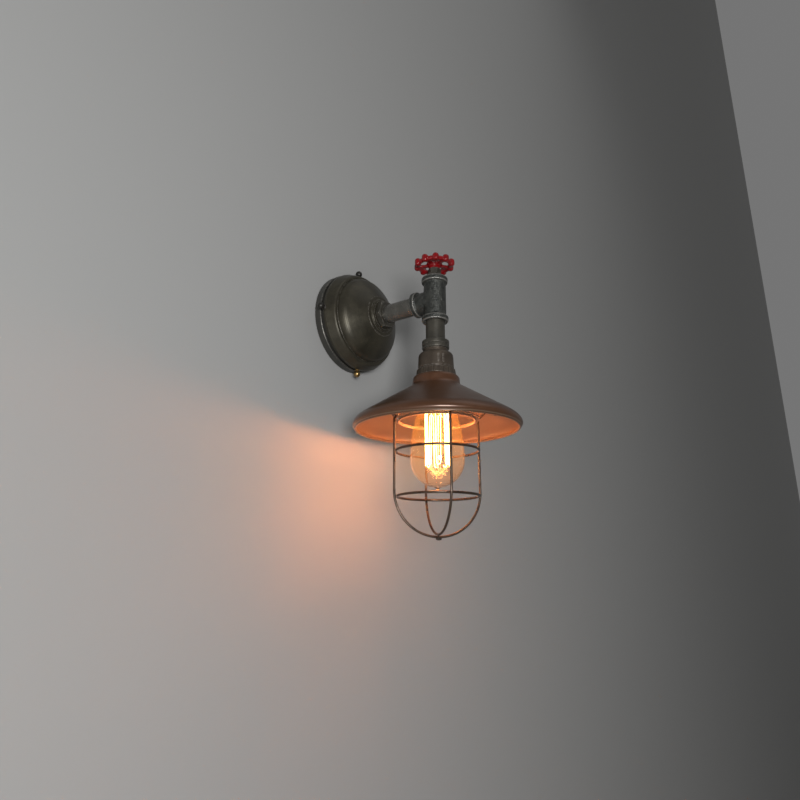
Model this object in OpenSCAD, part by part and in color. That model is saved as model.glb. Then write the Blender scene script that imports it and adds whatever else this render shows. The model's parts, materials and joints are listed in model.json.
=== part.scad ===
// Pipe-style wall light: a spun canopy, an arm and drop of water pipe with a tee and a handwheel,
// a socket cup, a conical shade, a filament bulb and a wire guard.
// The origin is the centre of the back of the wall plate, the wall is the plane y = 0, the arm
// points to -Y and +Z is up. Sizes are in millimetres.

/* [Pipework] */
// Distance from the wall to the centre of the drop
reach = 127.5; // [115:0.5:160]
// Outside diameter of the pipe
pipe_d = 21.3; // [18:0.1:24]
// Bore of the pipe
pipe_bore = 15.8; // [12:0.1:16.5]
// Length of pipe that screws into a fitting
socket_depth = 13; // [9:0.5:15]
// Gap left round a part that is screwed into another
thread_gap = 0.05; // [0.03:0.01:0.1]
// Distance from the middle of the tee to each of its mouths
tee_half = 26.5; // [24:0.5:32]
// Diameter of the tee between its beads
tee_body_d = 25; // [24.5:0.1:28]
// Diameter of the tee's beads
tee_bead_d = 29.6; // [28.5:0.1:33]
// Height of a bead
tee_bead_h = 6.5; // [5:0.1:8]
// Radius on the edges of the castings
cast_round = 1.2; // [0.5:0.1:1.8]

/* [Wall plate] */
// Outside diameter of the wall plate
plate_d = 121.6; // [118:0.2:126]
// Depth of the rim of the wall plate
plate_rim = 9; // [7.5:0.1:9.4]
// Thickness of the wall plate
plate_t = 1.5; // [1:0.1:2.5]
// Gap between the cover's skirt and the collar that the thumb screws go through
collar_gap = 1.4; // [1:0.1:3]
// Thickness of that collar
collar_t = 1.6; // [1.2:0.1:2.5]
// Height of that collar above the wall
collar_h = 17; // [16.6:0.1:17.4]
// Distance between the two slots for wall screws
slot_gap = 70; // [60:1:80]
// Width of a slot
slot_w = 5; // [4:0.1:6]
// Length of a slot from end to end
slot_l = 12; // [9:0.5:16]
// Height of the cable hole above the middle of the plate
cable_hole_z = 24; // [20:0.5:30]
// Diameter of the cable hole
cable_hole_d = 16; // [14:0.1:20]
// Bore of the rubber grommet in the cable hole
grommet_bore = 9; // [6:0.1:10]
// Thickness of the grommet's lips and of its wall
grommet_t = 1.4; // [1:0.1:1.8]

/* [Canopy cover] */
// How far the mouth of the cover lies inside the edge of the wall plate
mouth_in = 0.6; // [0:0.1:1.5]
// Distance of the mouth from the wall
mouth_y = 13; // [10:0.1:13.4]
// Diameter of the skirt where its front edge starts to turn in
skirt_end_d = 113.6; // [111:0.2:116]
// Distance of that place from the wall
skirt_end_y = 24.4; // [23.4:0.1:25]
// Diameter of the bright edge where the skirt ends
skirt_front_d = 105.6; // [103.6:0.2:107]
// Distance of that edge from the wall
step_y = 27.3; // [26:0.1:28]
// Diameter of the dome where it rises from the groove behind that edge
dome_d = 102.4; // [99:0.2:102.8]
// Diameter of the dome's shoulder
shoulder_d = 90.8; // [88:0.2:94]
// Distance of the shoulder from the wall
shoulder_y = 37.9; // [36:0.1:40]
// How far the dome bulges between its foot and its shoulder
dome_bulge = 1.5; // [1:0.1:2.2]
// Diameter of the hub's foot, where the dome ends
hub_foot_d = 48; // [44:0.5:52]
// Distance of the hub's foot from the wall
dome_top_y = 51; // [47:0.5:56]
// Diameter of the hub, which the arm goes through
hub_flange_d = 39.2; // [38.4:0.2:42]
// Height of the hub above its foot
hub_rise = 3; // [2.4:0.1:4]
// Thickness of the spun sheet of the cover
cover_t = 1.2; // [0.8:0.1:1.6]

/* [Thumb screws] */
// Distance of the thumb screws from the wall
knob_y = 14.2; // [14:0.1:14.4]
// Diameter of a thumb screw's shank
knob_shank_d = 4; // [3:0.1:4.4]
// Diameter of its ball
knob_ball_d = 8.2; // [7:0.1:8.4]
// Diameter of the shoulder under the ball
knob_shoulder_d = 6.2; // [5.8:0.1:7]
// Radial gap round a shank in its tapped hole
knob_gap = 0.08; // [0.03:0.01:0.1]
// Length of the shank that shows between the shoulder and the ball
knob_neck = 0.6; // [0.4:0.1:2]
// Gap on both sides of a shank in its slot in the cover's skirt
skirt_gap = 0.5; // [0.4:0.1:0.8]

/* [Arm fixing] */
// Width across the flats of the nut outside the canopy
arm_nut_af = 30; // [28:0.5:32]
// Height of that nut
arm_nut_h = 6; // [5.5:0.5:9]
// How far that nut is turned about the arm
arm_nut_turn = 10.6; // [0:0.1:60]
// Diameter of the washers on both sides of the canopy
arm_washer_d = 36; // [34:0.5:38]
// Thickness of those washers
arm_washer_t = 1.2; // [0.8:0.1:2]
// Width across the flats of the nuts inside the light
lock_nut_af = 25; // [24:0.5:26]
// Height of the locknut inside the canopy
lock_nut_h = 5; // [4:0.5:6]

/* [Handwheel] */
// Height of the middle of the wheel's rim above the arm
wheel_z = 43.4; // [42:0.1:47]
// Overall diameter of the wheel over its lobes
wheel_d = 46.4; // [42:0.2:52]
// Thickness of the rim
wheel_rim_t = 4.6; // [3.8:0.1:5.2]
// Diameter of a lobe seen from above
lobe_d = 6.8; // [6:0.1:7.4]
// Height of a lobe
lobe_h = 8; // [7:0.1:9]
// How far a lobe's middle lies above the rim's
lobe_rise = 0.6; // [0:0.1:1]
// How far a lobe's middle lies outside the rim's
lobe_out = 1.4; // [0.8:0.1:2]
// Number of lobes
lobe_count = 10; // [8:1:12]
// Number of spokes
spoke_count = 5; // [4:1:6]
// Width of a spoke
spoke_w = 5; // [4:0.1:6]
// Thickness of a spoke
spoke_t = 2.6; // [2:0.1:3.2]
// Diameter of the hub at its foot
hub_d = 13; // [12.4:0.1:15]
// Diameter of the hub at its top
hub_top_d = 18; // [17:0.1:21]
// Turn of the first spoke from +X
wheel_turn = 37.5; // [0:0.5:72]
// Diameter of the spindle
stem_d = 7; // [6:0.1:7.4]
// Radial running gap round the spindle
run_gap = 0.06; // [0.02:0.01:0.1]
// Diameter of the boss on the plug under the wheel
boss_d = 16; // [15:0.1:18]
// Height of that boss
boss_h = 3.8; // [3:0.1:4.4]
// Width across the flats of the gland nut
gland_af = 12.8; // [12:0.1:13.4]
// Height of the gland nut
gland_h = 6.2; // [5:0.1:6.6]
// Gap under the hub and under the plug, where the spindle turns
end_gap = 0.4; // [0.3:0.05:0.6]

/* [Socket cup] */
// Depth of the upper end of the collar on the drop below the arm
collar_top_z = 49.3; // [48.5:0.1:52]
// Height of one bead of that collar
collar_bead_h = 4.9; // [4.5:0.1:5.5]
// Diameter of the beads of that collar
drop_collar_d = 30; // [28:0.1:32]
// Diameter of the cup's neck
neck_d = 26.8; // [25:0.1:27]
// Height of the neck
neck_h = 4.2; // [3.8:0.1:5]
// Diameter of the cup at its shoulder
cup_top_d = 38.2; // [36:0.1:38.6]
// Diameter of the cup at its lower end
cup_low_d = 39.2; // [38.8:0.1:40]
// Height of the cup from its shoulder to its lower end
cup_h = 18; // [17:0.1:19]
// Thickness of the cup's wall
cup_t = 1.3; // [1:0.1:1.4]
// Upper diameter of the ring that clamps the shade
band_top_d = 42.2; // [41.6:0.1:43]
// Lower diameter of that ring
band_low_d = 43.8; // [43:0.1:45]
// Height of that ring
band_h = 7.1; // [6.5:0.1:8]
// Width of the groove between cup and ring
band_groove = 1.9; // [1:0.1:2.2]

/* [Shade] */
// Outside diameter of the shade
shade_d = 180; // [170:0.5:190]
// Height of the shade from its rim to its top
shade_h = 59; // [54:0.5:62]
// Diameter of the shade's neck
shade_neck_d = 50.8; // [48:0.1:53]
// Height of the neck above the cone
shade_neck_h = 11; // [10:0.1:12]
// Height of the shade's widest place above its rim
shade_skirt = 4.6; // [4:0.2:6]
// How far the rim curls in below the widest place
shade_curl = 2; // [1:0.2:3]
// Slope of the cone in degrees from the horizontal
shade_slope = 31.2; // [30.5:0.1:32]
// Thickness of the spun sheet of the shade
shade_t = 1; // [0.8:0.1:1.4]
// Diameter of the rolled edge at the rim
shade_roll_d = 2.6; // [2.2:0.1:3.2]

/* [Lampholder] */
// Outside diameter of the threaded sleeve round the lampholder
sleeve_d = 32.8; // [32.4:0.1:33]
// Thickness of the sleeve
sleeve_t = 1; // [0.8:0.1:1.1]
// Depth of the lower end of the sleeve below the shade's top
sleeve_below = 11.4; // [10:0.1:13]
// Depth of the thread pressed into the brass screw shell
shell_wave = 0.4; // [0.3:0.05:0.5]
// Radial gap between the shell and the bulb's cap
shell_gap = 0.08; // [0.05:0.01:0.1]
// Thickness of the screw shell
shell_t = 0.35; // [0.3:0.05:0.4]
// Outside diameter of the bulb's screw cap
cap_d = 26.4; // [25.8:0.1:26.6]
// Height of the nut under the shade's top
shade_nut_h = 5; // [4:0.1:6]
// Outside diameter of that nut
shade_nut_d = 43; // [40:0.5:45]

/* [Bulb] */
// Largest diameter of the bulb
bulb_d = 57.5; // [54:0.5:62]
// Diameter of the bulb's neck at the cap
bulb_neck_d = 27; // [26:0.1:27.4]
// Length of the bulb from the tip of its cap to its pip
bulb_l = 132.5; // [128:0.5:140]
// Length of the neck over which the glass starts to widen
bulb_flare_l = 17; // [14:0.5:20]
// How much the glass has widened there, on each side
bulb_flare_w = 4.5; // [3.5:0.1:5.5]
// Length of the screw cap without its tip
cap_l = 20.8; // [20:0.1:22]
// Thickness of the glass
glass_t = 0.8; // [0.6:0.1:1]
// Number of strands of the filament, up and down
strand_count = 16; // [12:2:20]
// How far the lower hooks' middle lies below the strands
spider_drop = 8; // [5:0.5:10]
// How far the strands are turned about the drop
strand_turn = 16; // [0:0.5:30]
// Diameter of the cage that the filament makes
filament_cage_d = 25; // [20:0.5:27]
// Length of the filament cage
filament_l = 57; // [50:0.5:60]
// Thickness of the filament
filament_t = 0.5; // [0.4:0.05:0.7]

/* [Wire guard] */
// Diameter of the guard's wire
wire_d = 2.6; // [2.2:0.1:3]
// Outside diameter of the guard's mounting ring
ring_d = 90; // [86:0.5:96]
// Width of that ring from its hole to its edge
ring_w = 5; // [4.8:0.1:6]
// Thickness of that ring
ring_t = 1.2; // [1:0.1:1.6]
// Height of the lip round the hole of that ring
ring_lip = 3.2; // [2.4:0.1:4]
// Height of that ring above the rim of the shade
ring_up = 12; // [9:0.5:14]
// Depth of the upper hoop below the mounting ring
upper_hoop_depth = 34.3; // [28:0.5:40]
// Depth of the lower hoop below the mounting ring
lower_hoop_depth = 81.4; // [76:0.5:86]
// Depth of the lowest wire below the mounting ring
guard_depth = 122.5; // [118:0.5:130]
// Turn of the first wire from +X
guard_turn = 49.5; // [40:0.5:50]
// Width of the strips that hold the mounting ring
strip_w = 7; // [6:0.5:9]
// Thickness of those strips
strip_t = 1.2; // [1:0.1:1.5]
// Distance from the drop to where a strip meets the cone
strip_r = 60; // [56:0.5:66]
// Diameter of the screws in the mounting ring
ring_screw_d = 2; // [1.6:0.1:2.2]

/* [Wiring] */
// Diameter of a lead
lead_d = 2.2; // [1.8:0.1:2.6]
// Distance of a lead from the middle of the pipe
lead_off = 2.4; // [1.8:0.1:3]
// Distance of the lampholder's terminals from its middle
terminal_off = 8; // [7.6:0.1:8.4]
// Width, height and depth of the terminal block
block = [33, 17, 13]; // [10:0.5:40]
// Distance between the poles of the terminal block
pole_gap = 10; // [9:0.1:11]
// Height of the middle of the terminal block above the middle of the plate
block_z = -14; // [-20:0.5:-12]
// Diameter of the terminal and fixing screws of the block
block_screw_d = 3; // [2.5:0.1:3.2]

/* [Hidden] */
$fn = 96;
// A small overlap that makes cuts clean
cut = 0.5;
pipe_r = pipe_d / 2;
socket_r = pipe_r + thread_gap;
water_r = pipe_bore / 2;
knob_count = 4;
wire_count = 4;

// Heights down the drop, all measured from the arm
collar_low_z = -collar_top_z - 2 * collar_bead_h;
shoulder_z = collar_low_z - neck_h;
cup_low_z = shoulder_z - cup_h;
band_top_z = cup_low_z - band_groove;
shade_top_z = band_top_z - band_h;
rim_z = shade_top_z - shade_h;
ring_z = rim_z + ring_up;
sleeve_low_z = shade_top_z - sleeve_below;
cup_in_r = cup_top_d / 2 - cup_t;
seat_z = shoulder_z - 2.4;
sleeve_r = sleeve_d / 2;
sleeve_in_r = sleeve_r - sleeve_t;
porcelain_r = sleeve_in_r - thread_gap;
sleeve_lip_r = cap_d / 2 + 1.2;
porcelain_low_z = sleeve_low_z + sleeve_t;
nipple_end_z = seat_z - sleeve_t - lock_nut_h - 0.3;
porcelain_top_z = nipple_end_z - 3.7;
porcelain_floor = 3.2;
well_z = porcelain_top_z - porcelain_floor;
contact_h = 1.2;

// Heights on the bulb
cap_tip_z = well_z - contact_h - 0.3;
shell_r = cap_d / 2 + shell_gap + shell_wave + shell_t;
cap_top_z = cap_tip_z - 2.7;
cap_low_z = cap_top_z - cap_l;
bulb_low_z = cap_tip_z - bulb_l;
pip_h = 3;
bulb_mid_z = bulb_low_z + pip_h + bulb_d / 2;
bulb_in_r = bulb_neck_d / 2 - glass_t;
filament_low_z = bulb_mid_z - 6;
filament_top_z = filament_low_z + filament_l;
spider_z = filament_low_z - spider_drop;
button_r = 2.6;

// Heights above the tee
plug_head_h = 1.6;
plug_head_d = 24;
boss_top_z = tee_half + plug_head_h + boss_h;
gland_top_z = boss_top_z + gland_h;
hub_low_z = gland_top_z + end_gap;
hub_top_z = wheel_z + wheel_rim_t / 2 + 0.6;
stem_r = stem_d / 2;
stem_low_z = tee_half - socket_depth - end_gap - 1.6;
nut_h = 4;
stem_top_z = hub_top_z + 1 + nut_h + 1;

// Canopy and arm
mouth_r = plate_d / 2 - mouth_in;
collar_r = mouth_r - cover_t - collar_gap;
hub_top_y = dome_top_y + hub_rise;
cover_in_y = hub_top_y - cover_t;
nut_y = hub_top_y + arm_washer_t;
inner_nut_y = cover_in_y - arm_washer_t - lock_nut_h;
arm_end_y = inner_nut_y - 3;
knob_seat_r = mouth_r + 0.05;
knob_inner_r = collar_r - collar_t - 1.4;
knob_ball_r = knob_ball_d / 2;

// Wire guard
wire_r = wire_d / 2;
ring_r = ring_d / 2;
guard_r = ring_r + wire_r + 0.02;
guard_low_z = ring_z - guard_depth;
turn_z = [guard_low_z + wire_d + 0.02 + guard_r, guard_low_z + guard_r];
hoop_z = [ring_z - upper_hoop_depth, ring_z - lower_hoop_depth];
ring_screw_r = ring_r - ring_w / 2 + 0.2;
cone_foot = [shade_neck_d / 2 + 3.4, shade_top_z - shade_neck_h - 1.4];

// Points from p to q on an arc that bulges by sag to the right of the way from p to q
function arc(p, q, sag, n = 8) =
    let (c = norm(q - p), r = (c * c / 4 + sag * sag) / (2 * sag), u = (q - p) / c, v = [u.y, -u.x],
         m = (p + q) / 2 - v * (r - sag), a = asin(c / 2 / r))
    [for (i = [0:n]) let (t = -a + 2 * a * i / n) m + u * r * sin(t) + v * r * cos(t)];

// Points on a quarter bend from p to q, round the corner k
function bend(p, k, q, n = 5) =
    [for (i = [0:n]) let (t = i / n) p * (1 - t) * (1 - t) + k * 2 * t * (1 - t) + q * t * t];

// Points on a cubic curve
function cubic(a, b, c, d, n = 10) =
    [for (i = [0:n]) let (t = i / n, s = 1 - t)
        a * s * s * s + b * 3 * s * s * t + c * 3 * s * t * t + d * t * t * t];

function reversed(p) = [for (i = [len(p) - 1:-1:0]) p[i]];
function tail(p) = [for (i = [1:len(p) - 1]) p[i]];
function side(p, i) =
    let (k = min(max(i, 0), len(p) - 2), u = (p[k + 1] - p[k]) / norm(p[k + 1] - p[k])) [u.y, -u.x];

// The line p moved by t to its right, and the closed outline of a sheet between the two
function moved(p, t) =
    [for (i = [0:len(p) - 1]) let (s = side(p, i - 1) + side(p, i)) p[i] + s * (2 * t / (s * s))];
function sheet(p, t) = concat(p, reversed(moved(p, t)));

// A box profile from radius a to b and height c to d, with its two outer corners rounded by r
function ring_box(a, b, c, d, r) =
    concat([[a, c]], bend([b - r, c], [b, c], [b, c + r], 4),
        bend([b, d - r], [b, d], [b - r, d], 4), [[a, d]]);

module on_arm() { rotate([90, 0, 0]) children(); }
module on_drop() { translate([0, -reach, 0]) children(); }
module turned(points) { rotate_extrude() polygon(points); }

module tube(r, bore, z0, z1) {
    translate([0, 0, z0])
        difference() {
            cylinder(r = r, h = z1 - z0);
            translate([0, 0, -cut]) cylinder(r = bore, h = z1 - z0 + 2 * cut);
        }
}

// A hexagon nut with both ends chamfered, from z0 to z0 + h
module hex_nut(af, h, bore, z0) {
    corner = af / 2 / cos(30);
    translate([0, 0, z0])
        difference() {
            intersection() {
                cylinder(r = corner, h = h, $fn = 6);
                turned([[0, 0], [af / 2, 0], [corner, (corner - af / 2) * 0.6],
                    [corner, h - (corner - af / 2) * 0.6], [af / 2, h], [0, h]]);
            }
            translate([0, 0, -cut]) cylinder(r = bore, h = h + 2 * cut);
        }
}

// A slotted pan head at z = 0 with its shank below it
module pan_screw(d, head_d, head_h, shank) {
    difference() {
        union() {
            turned(concat([[0, 0]], arc([head_d / 2, 0], [0, head_h], head_d * 0.09, 5)));
            translate([0, 0, -shank]) cylinder(r = d / 2, h = shank + cut);
        }
        translate([-head_d, -d * 0.13, head_h * 0.5]) cube([2 * head_d, d * 0.26, head_h]);
    }
}

// A tube of radius r along the points p. Each ring starts from the direction in refs
module swept(p, refs, r, n = 8) {
    last = len(p) - 1;
    rings = [for (i = [0:last])
        let (t0 = p[min(i + 1, last)] - p[max(i - 1, 0)], t = t0 / norm(t0),
             a0 = cross(t, refs[min(i, len(refs) - 1)]), a = a0 / norm(a0), b = cross(t, a))
        for (k = [0:n - 1]) p[i] + r * (a * cos(360 * k / n) + b * sin(360 * k / n))];
    walls = [for (i = [0:last - 1]) for (k = [0:n - 1])
        let (a = i * n + k, b = i * n + (k + 1) % n)
        for (f = [[a, b, a + n], [b, b + n, a + n]]) [f.x, f.z, f.y]];
    caps = concat([for (k = [1:n - 2]) [0, k, k + 1]],
        [for (k = [1:n - 2]) [last * n, last * n + k + 1, last * n + k]]);
    polyhedron(points = rings, faces = concat(walls, caps));
}

// Wall plate: a disc with a shallow rim and a taller collar that the cover fits over
module wall_plate() {
    color("#3a3835")
        difference() {
            on_arm()
                turned([[0, 0], [plate_d / 2 - 0.6, 0], [plate_d / 2, 0.6], [plate_d / 2, plate_rim - 0.5],
                    [plate_d / 2 - 0.5, plate_rim], [plate_d / 2 - plate_t, plate_rim],
                    [plate_d / 2 - plate_t, plate_t], [collar_r, plate_t], [collar_r, collar_h],
                    [collar_r - collar_t, collar_h], [collar_r - collar_t, plate_t], [0, plate_t]]);
            for (s = [-1, 1])
                translate([s * slot_gap / 2, 0, 0]) wall_slot();
            translate([0, 0, cable_hole_z]) on_arm() translate([0, 0, -cut])
                cylinder(r = cable_hole_d / 2, h = plate_t + 2 * cut);
            for (i = [0:knob_count - 1])
                knob_place(i) translate([0, 0, collar_r - collar_t - cut])
                    cylinder(r = knob_shank_d / 2 + knob_gap, h = collar_t + 2 * cut);
            for (s = [-1, 1])
                translate([s * pole_gap / 2, 0, block_z]) on_arm() translate([0, 0, -cut])
                    cylinder(r = block_screw_d / 2 + thread_gap, h = plate_t + 2 * cut);
            translate(earth_place()) on_arm() translate([0, 0, -plate_t - cut])
                cylinder(r = block_screw_d / 2 + thread_gap, h = plate_t + 2 * cut);
        }
}

module wall_slot() {
    on_arm() translate([0, 0, -cut])
        linear_extrude(plate_t + 2 * cut) union() {
            for (s = [-1, 1]) translate([s * (slot_l - slot_w) / 2, 0]) circle(d = slot_w);
            square([slot_l - slot_w, slot_w], center = true);
        }
}

function earth_place() = [-slot_gap / 2 + 6, -plate_t, block_z + 2];

module knob_place(i) { translate([0, -knob_y, 0]) rotate([0, 90 * i, 0]) children(); }

module cable_grommet() {
    color("#202020")
        translate([0, 0, cable_hole_z]) on_arm()
            turned([[grommet_bore / 2, 0.2], [cable_hole_d / 2 - thread_gap, 0.2],
                [cable_hole_d / 2 - thread_gap, plate_t + thread_gap],
                [cable_hole_d / 2 + grommet_t, plate_t + thread_gap],
                [cable_hole_d / 2 + grommet_t * 0.6, plate_t + grommet_t],
                [grommet_bore / 2 + 0.6, plate_t + grommet_t],
                [grommet_bore / 2, plate_t + grommet_t - 0.5]]);
}

// Terminal block: three poles with a lead bore each, and two fixing holes between them
module terminal_block() {
    color("#d8d4c8")
        difference() {
            translate([-block.x / 2, -plate_t - block.z, block_z - block.y / 2])
                cube([block.x, block.z, block.y]);
            for (x = [-1, 0, 1]) {
                translate([x * pole_gap, -plate_t - block.z / 2, block_z - block.y / 2 - cut])
                    cylinder(r = lead_d / 2 + 0.35, h = block.y + 2 * cut);
                for (z = [-1, 1]) pole_screw_place(x, z) translate([0, 0, -block.z / 2])
                    cylinder(r = block_screw_d / 2 + 0.2, h = block.z);
            }
            for (s = [-1, 1]) {
                block_screw_place(s) translate([0, 0, -block.z - cut])
                    cylinder(r = block_screw_d / 2 + 0.2, h = block.z + 2 * cut);
                block_screw_place(s) translate([0, 0, -3]) cylinder(r = block_screw_d * 0.75 + 0.2, h = 4);
            }
        }
}

module pole_screw_place(x, z) {
    translate([x * pole_gap, -plate_t - block.z, block_z + z * block.y / 4]) on_arm() children();
}
module block_screw_place(s) {
    translate([s * pole_gap / 2, -plate_t - block.z, block_z]) on_arm() children();
}

module terminal_screws() {
    color("#b08d3c")
        for (x = [-1, 0, 1]) for (z = [-1, 1])
            pole_screw_place(x, z) translate([0, 0, -3.2])
                pan_screw(block_screw_d - 0.2, block_screw_d + 0.1, 1.2, 1.4);
}

module block_screws() {
    color("#8f8f8a")
        for (s = [-1, 1])
            block_screw_place(s) translate([0, 0, -3]) pan_screw(block_screw_d, block_screw_d * 1.5, 1.8,
                block.z - 3 + plate_t - 0.2);
}

module earth_screw() {
    color("#8f8f8a")
        translate(earth_place()) on_arm() translate([0, 0, lead_d + 0.1])
            pan_screw(block_screw_d, block_screw_d * 2.2, 1.8, lead_d + plate_t - 0.2);
}

// A lead from the top of pole x, or from the earth pole to its screw
function lead_start(x) = [x * pole_gap, -plate_t - block.z / 2, block_z + block.y / 2 - 3];

module lamp_lead(side) {
    x = side * lead_off;
    start = lead_start(side);
    mouth = [x, -arm_end_y, 0];
    corner = 9;
    ease = 13;
    end = [side * terminal_off, -reach, porcelain_top_z + 0.8];
    route = concat(
        [start],
        cubic(start + [0, 0, 3.4], start + [0, 0, ease], mouth + [0, 16, 0], mouth, 10),
        bend([x, -reach + corner, 0], [x, -reach, 0], [x, -reach, -corner], 6),
        tail(cubic([x, -reach, nipple_end_z + ease], [x, -reach, nipple_end_z + 2.6],
            end + [-side * 3, 0, 3.1], end, 6)));
    swept(route, [[1, 0, 0]], lead_d / 2, 8);
}

module live_lead() { color("#6b3a1e") lamp_lead(1); }
module neutral_lead() { color("#27457a") lamp_lead(-1); }

module earth_lead() {
    start = lead_start(0) + [0, 0, 0.2];
    end = earth_place() + [block_screw_d / 2 + 0.2 + lead_d / 2, -lead_d / 2 - 0.05, 0];
    color("#5c7a2a")
        swept(concat([start],
            cubic(start + [0, 0, 3.2], start + [0, 0, 11], end + [4, 0, 15], end + [0, 0, 3], 10),
            [end + [0, 0, -2]]), [[0, 1, 0]], lead_d / 2, 8);
}

// Line of the cover from its mouth to the hole for the pipe. Only the outside has the rounded edge of the
// mouth, the groove between skirt and dome and the small steps of the hub
function cover_line(outside) =
    let (edge = [skirt_front_d / 2, step_y], foot = [dome_d / 2, step_y + 0.3],
         shoulder = [shoulder_d / 2, shoulder_y], hub_foot = [hub_foot_d / 2, dome_top_y])
    concat(
        outside ? bend([mouth_r - 0.5, mouth_y], [mouth_r, mouth_y], [mouth_r, mouth_y + 0.8], 4)
            : [[mouth_r, mouth_y]],
        [[mouth_r, mouth_y + 3.2]],
        bend([skirt_end_d / 2, skirt_end_y], [skirt_end_d / 2 - 0.9, step_y - 0.1],
            [skirt_front_d / 2 + 1, step_y - 0.1], 5),
        [edge],
        outside ? [[foot.x + 0.4, step_y - 0.5]] : [],
        arc(foot, shoulder, dome_bulge, 8),
        tail(arc(shoulder, hub_foot + [1, -0.8], 0.35, 6)),
        outside ? [hub_foot + [0.4, -0.6], hub_foot + [0.1, 0.1], hub_foot + [-0.6, 0.3]] : [],
        [[hub_flange_d / 2 + 0.7, dome_top_y + 0.9]],
        outside ? bend([hub_flange_d / 2 + 0.1, hub_top_y - 0.8], [hub_flange_d / 2, hub_top_y],
            [hub_flange_d / 2 - 0.8, hub_top_y], 4) : [[hub_flange_d / 2, hub_top_y]],
        [[socket_r + 0.3, hub_top_y]]);

module canopy_cover() {
    color("#46423c")
        difference() {
            on_arm() turned(concat(cover_line(true), reversed(moved(cover_line(false), -cover_t))));
            for (i = [0:knob_count - 1])
                knob_place(i) translate([0, 0, mouth_r - 8]) cover_slot();
        }
}

// Slot in the skirt, open at the mouth, so that the cover slides on past a thumb screw's shank
module cover_slot() {
    r = knob_shank_d / 2 + skirt_gap;
    cylinder(r = r, h = 16);
    translate([-r, 0, 0]) cube([2 * r, knob_y, 16]);
}

module thumb_screw(i, tint) {
    ball_r = knob_seat_r + 1.3 + knob_neck + 0.85 * knob_ball_r;
    color(tint)
        knob_place(i) union() {
            translate([0, 0, knob_inner_r]) cylinder(r = knob_shank_d / 2, h = ball_r - knob_inner_r);
            turned([[0, knob_seat_r], [knob_shoulder_d / 2 - 0.3, knob_seat_r],
                [knob_shoulder_d / 2, knob_seat_r + 0.3], [knob_shoulder_d / 2, knob_seat_r + 0.9],
                [knob_shank_d / 2, knob_seat_r + 1.3], [0, knob_seat_r + 1.3]]);
            translate([0, 0, ball_r]) sphere(r = knob_ball_r);
        }
}
module thumb_screw_top() { thumb_screw(0, "#2c2a28"); }
module thumb_screw_right() { thumb_screw(1, "#2c2a28"); }
module thumb_screw_bottom() { thumb_screw(2, "#8a6a2e"); }
module thumb_screw_left() { thumb_screw(3, "#2c2a28"); }

module outer_washer() {
    color("#56524b") on_arm() tube(arm_washer_d / 2, socket_r, hub_top_y, nut_y);
}
module inner_washer() {
    color("#8f8f8a") on_arm() tube(arm_washer_d / 2 - 2, socket_r, cover_in_y - arm_washer_t, cover_in_y);
}
module inner_locknut() { color("#8f8f8a") on_arm() hex_nut(lock_nut_af, lock_nut_h, socket_r, inner_nut_y); }
module arm_nut() {
    color("#4a4640") on_arm() rotate(arm_nut_turn) hex_nut(arm_nut_af, arm_nut_h, socket_r, nut_y);
}

module arm_pipe() {
    color("#6a6863") on_arm() tube(pipe_r, water_r, arm_end_y, reach - tee_half + socket_depth);
}

// One mouth of the tee: the body with its bead, along +Z from the middle
module tee_mouth() {
    r = tee_body_d / 2;
    b = tee_bead_d / 2;
    z = tee_half - tee_bead_h;
    turned(concat([[0, 0], [r, 0], [r, z - 1.6]], bend([r, z - 1.5], [r, z], [b - cast_round, z + 0.2], 4),
        bend([b - cast_round, z + 0.3], [b, z + 0.3], [b, z + cast_round + 0.3], 4),
        bend([b, tee_half - cast_round], [b, tee_half], [b - cast_round, tee_half], 4), [[0, tee_half]]));
}

module pipe_tee() {
    color("#3e3c3a")
        on_drop() difference() {
            union() {
                tee_mouth();
                rotate([180, 0, 0]) tee_mouth();
                rotate([-90, 0, 0]) tee_mouth();
            }
            for (a = [0, 180, -90]) rotate([a, 0, 0]) {
                cylinder(r = water_r, h = tee_half + cut);
                translate([0, 0, tee_half - socket_depth]) cylinder(r = socket_r, h = socket_depth + cut);
            }
        }
}

module top_plug() {
    color("#4a4846")
        on_drop() difference() {
            turned([[0, tee_half - socket_depth], [pipe_r, tee_half - socket_depth], [pipe_r, tee_half],
                [plug_head_d / 2, tee_half], [plug_head_d / 2, tee_half + plug_head_h - 0.4],
                [plug_head_d / 2 - 0.4, tee_half + plug_head_h], [boss_d / 2, tee_half + plug_head_h],
                [boss_d / 2, boss_top_z - 0.6], [boss_d / 2 - 0.6, boss_top_z], [0, boss_top_z]]);
            translate([0, 0, tee_half - socket_depth - cut])
                cylinder(r = stem_r + run_gap, h = socket_depth + plug_head_h + boss_h + 2 * cut);
        }
}

module gland_nut() { color("#33332f") on_drop() hex_nut(gland_af, gland_h, stem_r + run_gap, boss_top_z); }

module wheel_spindle() {
    groove_z = stem_low_z + 0.5;
    color("#77736a")
        on_drop() turned([[0, stem_low_z], [stem_r - 0.4, stem_low_z], [stem_r - 0.4, groove_z + 1.1],
            [stem_r, groove_z + 1.1], [stem_r, hub_top_z - 0.1], [stem_r - 1, hub_top_z - 0.1],
            [stem_r - 1, stem_top_z - 0.5], [stem_r - 1.5, stem_top_z], [0, stem_top_z]]);
}

module spindle_clip() {
    color("#77736a")
        on_drop() tube(stem_r + 1.6, stem_r - 0.4 + thread_gap, stem_low_z + 0.5, stem_low_z + 1.5);
}

// One spoke, which rises from the hub to the rim
module spoke(from_z, ring_r) {
    rise = wheel_z - from_z;
    translate([0, 0, from_z]) rotate([0, -atan(rise / ring_r), 0])
        translate([0, -spoke_w / 2, -spoke_t / 2]) cube([norm([ring_r, rise]), spoke_w, spoke_t]);
}

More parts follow.
